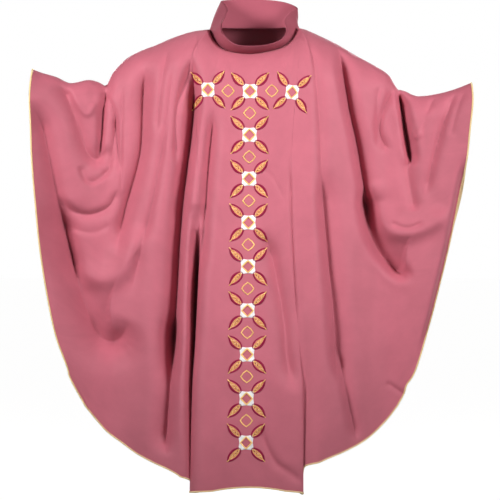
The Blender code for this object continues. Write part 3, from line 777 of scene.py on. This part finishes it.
def threaded(name, colour, roughness, pitch, metallic=0.0, sheen=0.0, specular=0.5, tone=0.2, angle=0.0):
    """Satin stitch or spun cord: fine parallel threads, each with its own tone."""
    material = new_material(name, colour, roughness, sheen, specular, metallic)
    tree = material.node_tree
    place = add_node(tree, "ShaderNodeTexCoord")
    turn = add_node(tree, "ShaderNodeMapping", {"Rotation": (0, angle, 0)})
    tree.links.new(place.outputs["Object"], turn.inputs["Vector"])
    wave = add_node(tree, "ShaderNodeTexWave",
                    {"Scale": WAVE_SCALE / pitch, "Distortion": 1.2, "Detail": 1.0})
    tree.links.new(turn.outputs["Vector"], wave.inputs["Vector"])
    speck = add_node(tree, "ShaderNodeTexNoise", {"Scale": 700.0, "Detail": 2.0})
    tree.links.new(place.outputs["Object"], speck.inputs["Vector"])
    two_tones(tree, wave.outputs["Fac"], 0.5, speck.outputs["Fac"], colour, tone, (0.35, 0.95))
    relief(tree, wave.outputs["Fac"], 0.6)
    return material


rose_cloth = woven("rose_cloth", ROSE, 0.60, 0.0009, sheen=0.05, specular=0.28)
# painted shade: the collar's cloth is a darker copy of the rose cloth, standing in for the shade on the
# collar
rose_collar_painted_shade = woven("rose_collar_painted_shade", [c * COLLAR_PAINTED_SHADE for c in ROSE], 0.80, 0.0009, specular=0.1)
rose_lining = woven("rose_lining", (0.42, 0.10, 0.14), 0.75, 0.0008, sheen=0.05, specular=0.15)
interfacing = woven("interfacing", (0.80, 0.78, 0.73), 0.9, 0.0012, specular=0.2)
gold_cord = threaded("gold_cord", (0.80, 0.60, 0.30), 0.42, 0.0006, metallic=0.15, sheen=0.2)
gold_thread = threaded("gold_thread", (0.86, 0.56, 0.18), 0.35, 0.0005, metallic=0.45, angle=0.8)
gold_ground = threaded("gold_ground", (0.62, 0.27, 0.09), 0.45, 0.0005, metallic=0.15, angle=-0.8)
burgundy = threaded("burgundy_satin", (0.24, 0.003, 0.040), 0.55, 0.0005, specular=0.2, angle=0.8)
mauve = threaded("mauve_satin", (0.42, 0.03, 0.11), 0.55, 0.0005, specular=0.2, angle=-0.8)
white_satin = threaded("white_satin", (0.86, 0.84, 0.86), 0.40, 0.0005, sheen=0.2, tone=0.08)
# partly painted highlight: a paler gold thread whose colour stands in for the glints on the gold leaves
highlight_pale_gold = threaded("pale_gold_thread", (0.92, 0.76, 0.42), 0.40, 0.0005, metallic=0.2, angle=0.8)
STITCHED = (burgundy, mauve, gold_ground, gold_thread, white_satin, highlight_pale_gold)
BURGUNDY, MAUVE, GOLD_GROUND, GOLD, WHITE, HIGHLIGHT_PALE_GOLD = range(6)


def twisted_cord(name, path, node):
    """A cord of two strands, twisted, along a path."""
    strand = CORD_RADIUS * 0.56
    step = CORD_RADIUS * 3.2 / TWIST_STEPS
    length = way_along(path)[-1]
    path = at_ways(path, np.linspace(0, length, max(int(length / step), 8)))
    across, up = frame_along(path)
    turn = 2 * math.pi * np.arange(len(path)) / TWIST_STEPS
    strands = []
    for phase in (0, math.pi):
        circle = np.cos(turn + phase)[:, None] * across + np.sin(turn + phase)[:, None] * up
        strands.append(tube(path + (CORD_RADIUS - strand) * circle, strand, sides=6))
    obj = link(name, new_mesh(name, *joined(strands)), [gold_cord])
    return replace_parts(obj, node)


def swing_with(obj):
    """Bakes the object's placement into its mesh; nothing ties it to the panel or to an arm."""
    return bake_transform(obj)


def follow(obj, word):
    return swing_with(obj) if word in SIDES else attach(obj, "centre")


def beyond_edge(path, middle):
    """A path moved outwards by the cord's place at the edge of the cloth, away from `middle`."""
    outward = path - middle
    outward[:, 1] = 0
    along = directions(path)
    outward -= (outward * along).sum(1, keepdims=True) * along
    return path + unit(outward) * CORD_RADIUS * 0.8


def edge_cord(face, word, grid):
    """The gold cord on a piece's free edge and hem."""
    side = SIDES.get(word, 0)
    hem = grid[-1]
    path, node = hem, f"{face}_hem_cord"
    if side:
        inwards = hem[1:] if side < 0 else hem[-2::-1]
        path, node = np.vstack([grid[:, 0 if side < 0 else -1], inwards]), f"{word}_{face}_cord"
    middle = np.array((side * 0.2, FACES[face] * 0.1, -0.5))
    return twisted_cord(f"{node}_twisted", beyond_edge(path, middle), node)


def add_sheet(face, word, node, grid, normals, uv):
    """One piece of a large sheet, with its cord."""
    name = f"{face}_sheet_{word}"
    obj = link(name, sheet_mesh(name, grid, normals, CLOTH, uv), [rose_cloth])
    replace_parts(obj, node)
    cord = edge_cord(face, word, grid)
    follow(obj, word)
    follow(cord, word)


def add_large_sheet(face):
    """A whole sheet in three pieces. Gives back its outside, which the embroidery is laid on."""
    grid, normals, (first, last) = full_sheet(face)
    uv = cloth_uv(grid)
    outside = (grid + normals * CLOTH / 2).reshape(-1, 3)
    pieces = {
        "right": (slice(0, first + 1), f"right_{face}_wing"),
        "centre": (slice(first, last + 1), f"{face}_centre_panel"),
        "left": (slice(last, None), f"left_{face}_wing"),
    }
    for word, (columns, node) in pieces.items():
        add_sheet(face, word, node, *(values[:, columns] for values in (grid, normals, uv)))
    return BVHTree.FromPolygons(outside.tolist(), grid_faces(*grid.shape[:2]).tolist())


surfaces = {face: add_large_sheet(face) for face in FACES}


# ---------------------------------------------------------------- collar
def ring_through(points, index):
    """A closed smooth curve through `points`, at places counted in points."""
    knots = np.array(points, float)
    i = np.floor(index).astype(int)
    return between(*(knots[(i + k) % len(knots)] for k in (-1, 0, 1, 2)), (index - i)[:, None])


def collar_grid(inset, rows, stop=1.0):
    """The collar's wall from its seam up to `stop` of its height, moved inwards by `inset`."""
    index = np.linspace(0, len(COLLAR), COLLAR_COLUMNS, endpoint=False)
    seam = ring_through([low for low, _ in COLLAR], index)
    rim = ring_through([high for _, high in COLLAR], index)
    v = np.linspace(0, stop, rows)[:, None, None]
    wall = seam * (1 - v) + rim * v
    out = wall - wall.mean(axis=1, keepdims=True)
    out[..., 2] = 0.0
    return wall + unit(out) * (COLLAR_BULGE * np.sin(np.pi * v) - inset)


def ring_uv(points, thickness):
    """Distances round the band and over its edges, in metres, for each corner of each face."""
    columns = points.shape[1]
    u = np.arange(columns + 1) / columns * COLLAR_LENGTH
    v = way_along(points[:, 0])
    v = np.append(v, v[-1] + thickness)
    corner_u = np.stack([u[:-1], u[1:], u[1:], u[:-1]], -1)
    corner_v = np.stack([v[:-1], v[:-1], v[1:], v[1:]], -1)
    return np.stack(np.broadcast_arrays(corner_u[None], corner_v[:, None]), -1)


def ring_shell(name, grid, material, node):
    """A closed band of cloth: outside, inside and both edges."""
    half = COLLAR_PLY / 2
    down = np.gradient(grid, axis=0)
    normals = unit(np.cross(np.roll(grid, -1, 1) - np.roll(grid, 1, 1), down))
    rolled = [grid + normals * half]
    turns = np.linspace(0, math.pi, 5)[1:-1]
    up, low = unit(down[-1]), unit(-down[0])
    for turn in turns:
        rolled.append((grid[-1] + (math.cos(turn) * normals[-1] + math.sin(turn) * up) * half)[None])
    rolled.append((grid - normals * half)[::-1])
    for turn in turns:
        rolled.append((grid[0] + (-math.cos(turn) * normals[0] + math.sin(turn) * low) * half)[None])
    points = np.concatenate(rolled)
    faces = grid_faces(*points.shape[:2], closed_rows=True, closed_columns=True)
    mesh = new_mesh(name, points, faces.tolist())
    set_uv(mesh, ring_uv(points, COLLAR_PLY))
    obj = link(name, mesh, [material])
    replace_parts(obj, node)
    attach(obj, "centre")


def add_collar():
    ring_shell("collar_outer_cloth", collar_grid(0.0, 16), rose_collar_painted_shade, "collar_outer")
    ring_shell("collar_interfacing_ply", collar_grid(COLLAR_GAP, 10, 0.93), interfacing,
               "collar_interfacing")
    ring_shell("collar_lining_cloth", collar_grid(2 * COLLAR_GAP, 16, 0.995), rose_lining,
               "collar_lining")
    path = spline([seam for seam, _ in COLLAR], np.linspace(0, 1, 200, endpoint=False), closed=True)
    roll = new_mesh("neck_binding_roll", *tube(path, ROLL_RADIUS, closed=True))
    binding = link("neck_binding_roll", roll, [rose_lining])
    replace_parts(binding, "neck_binding")
    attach(binding, "centre")


# ---------------------------------------------------------------- shoulder tapes and seams
def add_shoulder(word):
    """The tape under the shoulder seam, and the seam's roll between the two sheets."""
    side = SIDES[word]
    x = np.linspace(0.20, 0.59, 60)
    y, z = top_edge("front", word, x)
    tape = np.stack([np.stack([side * x, y + shift, z - 0.004], -1) for shift in (-0.004, 0.0, 0.004)])
    normals = np.zeros_like(tape)
    normals[..., 2] = 1.0
    name = f"{word}_shoulder_tape_woven"
    mesh = sheet_mesh(name, tape, normals, TAPE, cloth_uv(tape))
    obj = link(name, mesh, [interfacing])
    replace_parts(obj, f"{word}_shoulder_tape")
    swing_with(obj)

    x = np.linspace(0.140, TOP[word][-1][0], 160)
    y, z = top_edge("front", word, x)
    name = f"{word}_shoulder_seam_roll"
    roll = new_mesh(name, *tube(np.stack([side * x, y, z - 0.0006], -1), ROLL_RADIUS))
    swing_with(link(name, roll, [rose_cloth]))


# ---------------------------------------------------------------- embroidery
# Parts of a motif are drawn about its centre as u, w and height, with u to the viewer's right.
def ribbon(path, width, height, closed=True):
    """A raised line of satin stitch: (u, w, height) points and faces."""
    path = np.asarray(path, float)
    along = directions(path, closed)
    beside_it = np.column_stack([along[:, 1], -along[:, 0]])
    turn = np.linspace(0, 2 * math.pi, 8, endpoint=False)
    width = np.broadcast_to(width, (len(path),))[:, None, None]
    flat = path[:, None] + width / 2 * np.cos(turn)[None, :, None] * beside_it[:, None]
    rise = np.broadcast_to(height * np.sin(turn)[None, :, None], (*flat.shape[:2], 1))
    return np.concatenate([flat, rise], axis=-1).reshape(-1, 3), tube_faces(len(path), 8, closed)


def pad(rows, height):
    """A padded area from a grid of (u, w) points: a domed top and a flat underside."""
    count_r, count_c = rows.shape[:2]
    r = np.linspace(-1, 1, count_r)[:, None]
    c = np.linspace(-1, 1, count_c)[None]
    dome = height * np.sqrt(np.clip((1 - r**4) * (1 - c**4), 0, 1))
    rises = (dome, np.full_like(dome, UNDERSIDE))
    points = np.stack([np.concatenate([rows, rise[..., None]], axis=-1) for rise in rises])
    return points.reshape(-1, 3), closed_faces(count_r, count_c)[:, ::-1].tolist()


def lens(start, end, width):
    """The middle line and the half width of a pointed leaf from `start` to `end` along u."""
    s = np.linspace(0, 1, 26)
    return start + (end - start) * s, width / 2 * np.sin(np.pi * s**0.85) ** 0.65


def lens_pad(start, end, width, height):
    u, half = lens(start, end, width)
    half = np.maximum(half, 0.0002)
    t = np.linspace(-1, 1, 7)
    return pad(np.stack([np.broadcast_to(u[:, None], (len(u), 7)), half[:, None] * t[None]], -1), height)


def lens_line(start, end, width, stroke, height):
    u, half = lens(start, end, width)
    loop = np.vstack([np.column_stack([u, half]), np.column_stack([u, -half])[-2:0:-1]])
    return ribbon(loop, stroke, height)


def heavy_side(start, end, width, side):
    """The thicker satin stitch along one side of a leaf."""
    u, half = lens(start, end, width)
    stroke = 0.0022 + 0.0042 * np.sin(np.pi * np.linspace(0, 1, len(u)))
    return ribbon(np.column_stack([u, side * half]), stroke, 0.0019, closed=False)


def zigzag(start, end, reach, turns=5):
    """A fine line of running stitch that sways from side to side down a leaf. Its pale gold is partly painted
    highlight, standing in for the glints on the gold.
    """
    s = np.linspace(0, 1, 10 * turns)
    path = np.column_stack([start + (end - start) * s, reach * np.sin(np.pi * turns * s)])
    return ribbon(path, 0.0010, 0.0022, closed=False)


def dot(u, radius, height):
    """A raised round stitch on a leaf's middle line."""
    turn = np.linspace(0, 2 * math.pi, 10, endpoint=False)
    rings = radius * np.array((0.15, 0.6, 1.0))[:, None]
    rise = np.broadcast_to(height * np.array((1.0, 0.8, -0.3))[:, None], (3, 10))
    points = np.stack([u + rings * np.cos(turn), rings * np.sin(turn), rise], -1).reshape(-1, 3)
    ends = [list(range(10)), list(range(29, 19, -1))]
    return points, grid_faces(3, 10, closed_columns=True)[:, ::-1].tolist() + ends


def diamond(tip_u, tip_w, bow, stroke, height):
    """The outline of a diamond whose sides bow out by a share of their length."""
    corners = np.array(((tip_u, 0), (0, tip_w), (-tip_u, 0), (0, -tip_w)))
    sides = []
    for a, b in zip(corners, np.roll(corners, -1, 0)):
        t = np.linspace(0, 1, 15, endpoint=False)[:, None]
        sides.append(a + (b - a) * t + unit(a + b) * bow * np.linalg.norm(b - a) * np.sin(np.pi * t) ** 2)
    return ribbon(np.vstack(sides), stroke, height)


def white_square():
    """The white ground: a square with hollow sides, open where the gold diamond shows the cloth."""
    turn = np.linspace(0, 2 * math.pi, 96, endpoint=False)
    inner = SQUARE_OPENING / (np.abs(np.cos(turn)) + np.abs(np.sin(turn)))
    off = (turn + math.pi / 4) % (math.pi / 2) - math.pi / 4
    outer = SQUARE_REACH / np.cos(off) * (1 + 0.10 * np.sin(2 * off) ** 2)
    shares = np.linspace(0, 1, 6)[:, None]
    radius = inner * (1 - shares) + outer * shares
    flat = np.stack([radius * np.cos(turn), radius * np.sin(turn)], -1)
    rise = 0.0011 * np.sqrt(np.clip(1 - (2 * shares - 1) ** 4, 0, 1)) * np.ones_like(radius)
    top = np.concatenate([flat, rise[..., None]], -1)
    under = np.concatenate([flat[::-1], np.full((6, 96, 1), UNDERSIDE)], -1)
    faces = grid_faces(12, 96, closed_rows=True, closed_columns=True)[:, ::-1]
    return np.concatenate([top, under]).reshape(-1, 3), faces.tolist()


def turned(part, angle):
    points, faces = part
    c, s = math.cos(angle), math.sin(angle)
    return points @ np.array(((c, s, 0), (-s, c, 0), (0, 0, 1))), faces


def leaf_parts(burgundy_side):
    """One leaf along u: a ground with an outline, a second ground with its own, stitches and a gold tip."""
    tip = CROSS_REACH * math.sqrt(2)
    return [
        (lens_pad(LEAF_START, tip - 0.002, 0.0220, 0.0007), MAUVE),
        (lens_line(LEAF_START, tip - 0.002, 0.0215, 0.0034, 0.0014), BURGUNDY),
        (heavy_side(LEAF_START, tip - 0.002, 0.0210, burgundy_side), BURGUNDY),
        (lens_pad(0.026, tip - 0.008, 0.0120, 0.0015), GOLD_GROUND),
        (lens_line(0.026, tip - 0.007, 0.0120, 0.0013, 0.0021), GOLD),
        # the pale zigzag is partly painted highlight on the gold leaf
        (zigzag(0.030, tip - 0.012, 0.0030), HIGHLIGHT_PALE_GOLD),
        (dot(0.0335, 0.0024, 0.0032), BURGUNDY),
        (dot(0.0415, 0.0022, 0.0032), BURGUNDY),
        (dot(0.0485, 0.0018, 0.0030), BURGUNDY),
        (ribbon(((tip - 0.008, 0.0), (tip - 0.003, 0.0), (tip + 0.002, 0.0)), (0.002, 0.0032, 0.0014),
                0.0022, closed=False), GOLD),
    ]


def cross_parts():
    """The four-leaved cross, about its own centre: (part, material number) pairs."""
    parts = []
    for quarter in range(4):
        angle = math.pi / 4 + quarter * math.pi / 2
        parts += [(turned(part, angle), number) for part, number in leaf_parts((-1) ** (quarter + 1))]
    parts.append((white_square(), WHITE))
    parts.append((diamond(0.0164, 0.0168, 0.0, 0.0040, 0.0026), GOLD))
    return parts


CROSS = cross_parts()
ARM_CROSS = [((points * (ARM_SQUEEZE, 1, 1), quads), number) for (points, quads), number in CROSS]
DIAMOND = [(diamond(0.0170, 0.0170, 0.06, 0.0030, 0.0018), GOLD)]


def laid_on(face, part, centre):
    """A part's points carried onto the cloth, each at its height above it."""
    points, faces = part
    sign = FACES[face]
    placed = []
    for u, w, height in points:
        at = Vector((centre[0] - sign * u, sign * 0.6, centre[1] + w))
        hit, normal, _, _ = surfaces[face].ray_cast(at, Vector((0, -sign, 0)))
        if normal.y * sign < 0:
            normal = -normal
        placed.append(hit + normal * (height + STITCH_GAP))
    return np.array(placed), faces


def add_motif(node, face, parts, centre, tilt=0.0):
    """A cross or a diamond about `centre`, which leans with the front's column of them."""
    if face == "front":
        centre = (centre[0] - COLUMN_DRIFT * (FIRST_CROSS_Z - centre[1]) / (8 * CROSS_PITCH), centre[1])
    laid = [laid_on(face, turned(part, tilt), centre) for part, _ in parts]
    numbers = [number for (_, quads), (_, number) in zip(laid, parts) for _ in quads]
    name = f"{node}_stitched"
    mesh = new_mesh(name, *joined(laid))
    mesh.polygons.foreach_set("material_index", numbers)
    obj = link(name, mesh, STITCHED)
    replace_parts(obj, node)
    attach(obj, "centre")


def add_embroidery(face):
    """Nine crosses down the middle, one on each arm of the T, and a diamond between each two."""
    column = [(0.0, FIRST_CROSS_Z - CROSS_PITCH * i) for i in range(9)]
    arms = [(-CROSS_PITCH, FIRST_CROSS_Z + 0.004), (CROSS_PITCH, FIRST_CROSS_Z - 0.003)]
    between_two = [(0.0, z - CROSS_PITCH / 2) for _, z in column[:-1]]
    between_two += [(x / 2, FIRST_CROSS_Z + 0.001) for x, _ in arms]
    for i, centre in enumerate(column, start=1):
        add_motif(f"{face}_cross_{i:02d}", face, CROSS, centre)
    for i, (x, z), tilt in zip((10, 11), arms, (0.02, -0.12)):
        add_motif(f"{face}_cross_{i}", face, ARM_CROSS, (x * ARM_SHIFT, z), tilt)
    for i, centre in enumerate(between_two, start=1):
        add_motif(f"{face}_diamond_{i:02d}", face, DIAMOND, centre)


add_collar()
for word in SIDES:
    add_shoulder(word)
for face in FACES:
    add_embroidery(face)


# ---------------------------------------------------------------- stage
def add_floor():
    """A white floor that doesn't light the object."""
    turn = np.linspace(0, 2 * math.pi, 64, endpoint=False)
    ring = np.stack([FLOOR_REACH * np.cos(turn), FLOOR_REACH * np.sin(turn), np.full(64, FLOOR_Z)], -1)
    mesh = new_mesh("floor", ring, [list(range(64))])
    material = new_material("floor", (0.6, 0.6, 0.6), 0.9, specular=0.1)
    shader = material.node_tree.nodes["Principled BSDF"]
    shader.inputs["Emission Color"].default_value = (1, 1, 1, 1)
    shader.inputs["Emission Strength"].default_value = 0.90
    mesh.materials.append(material)
    obj = bpy.data.objects.new("floor", mesh)
    obj.visible_diffuse = False
    bpy.context.scene.collection.objects.link(obj)


def softbox(name, place, target, size, watts, spread):
    data = bpy.data.lights.new(name, "AREA")
    data.spread = math.radians(spread)
    data.shape = "RECTANGLE"
    data.size, data.size_y = size
    data.energy = watts
    lamp = bpy.data.objects.new(name, data)
    lamp.location = place
    lamp.rotation_euler = (Vector(target) - Vector(place)).to_track_quat("-Z", "Y").to_euler()
    bpy.context.scene.collection.objects.link(lamp)


def studio_world(seen, above, below):
    """A white room: the camera sees it at `seen`. It lights the object more from above than from below."""
    world = bpy.data.worlds.new("studio")
    world.use_nodes = True
    tree = world.node_tree
    light = tree.nodes["Background"]
    light.inputs["Color"].default_value = (1.0, 0.985, 0.97, 1)
    place = add_node(tree, "ShaderNodeTexCoord")
    split = add_node(tree, "ShaderNodeSeparateXYZ")
    tree.links.new(place.outputs["Generated"], split.inputs[0])
    level = add_node(tree, "ShaderNodeMapRange",
                     {"From Min": -0.5, "From Max": 0.7, "To Min": below, "To Max": above})
    tree.links.new(split.outputs["Z"], level.inputs["Value"])
    tree.links.new(level.outputs["Result"], light.inputs["Strength"])
    room = add_node(tree, "ShaderNodeBackground", {"Color": (1, 1, 1, 1), "Strength": seen})
    path = add_node(tree, "ShaderNodeLightPath")
    mix = add_node(tree, "ShaderNodeMixShader")
    tree.links.new(path.outputs["Is Camera Ray"], mix.inputs[0])
    tree.links.new(light.outputs[0], mix.inputs[1])
    tree.links.new(room.outputs[0], mix.inputs[2])
    tree.links.new(mix.outputs[0], tree.nodes["World Output"].inputs["Surface"])
    bpy.context.scene.world = world


def add_camera():
    """Level with the middle of the garment, so far off that it looks almost flat."""
    distance = 6.0
    data = bpy.data.cameras.new("camera")
    data.sensor_width = 36.0
    data.lens = data.sensor_width * distance / VIEW_WIDTH
    camera = bpy.data.objects.new("camera", data)
    camera.location = (0.0, -0.12 - distance, -0.63)
    camera.rotation_euler = (math.pi / 2, 0.0, 0.0)
    bpy.context.scene.collection.objects.link(camera)
    bpy.context.scene.camera = camera


add_floor()
studio_world(1.0, 0.16, 0.04)
softbox("key_right", (-2.4, -2.4, 0.65), (0.0, 0.0, -0.35), (0.9, 1.2), 11.5, 50)
softbox("key_left", (2.4, -2.4, 0.65), (0.0, 0.0, -0.35), (0.9, 1.2), 10.6, 50)
softbox("back_right", (-0.9, 3.3, 0.4), (0.0, 0.0, -0.4), (1.0, 1.0), 6.0, 45)
softbox("back_left", (1.2, 3.2, 0.5), (0.0, 0.0, -0.4), (1.0, 1.0), 7.5, 45)
add_camera()
bpy.context.scene.view_settings.view_transform = "Standard"
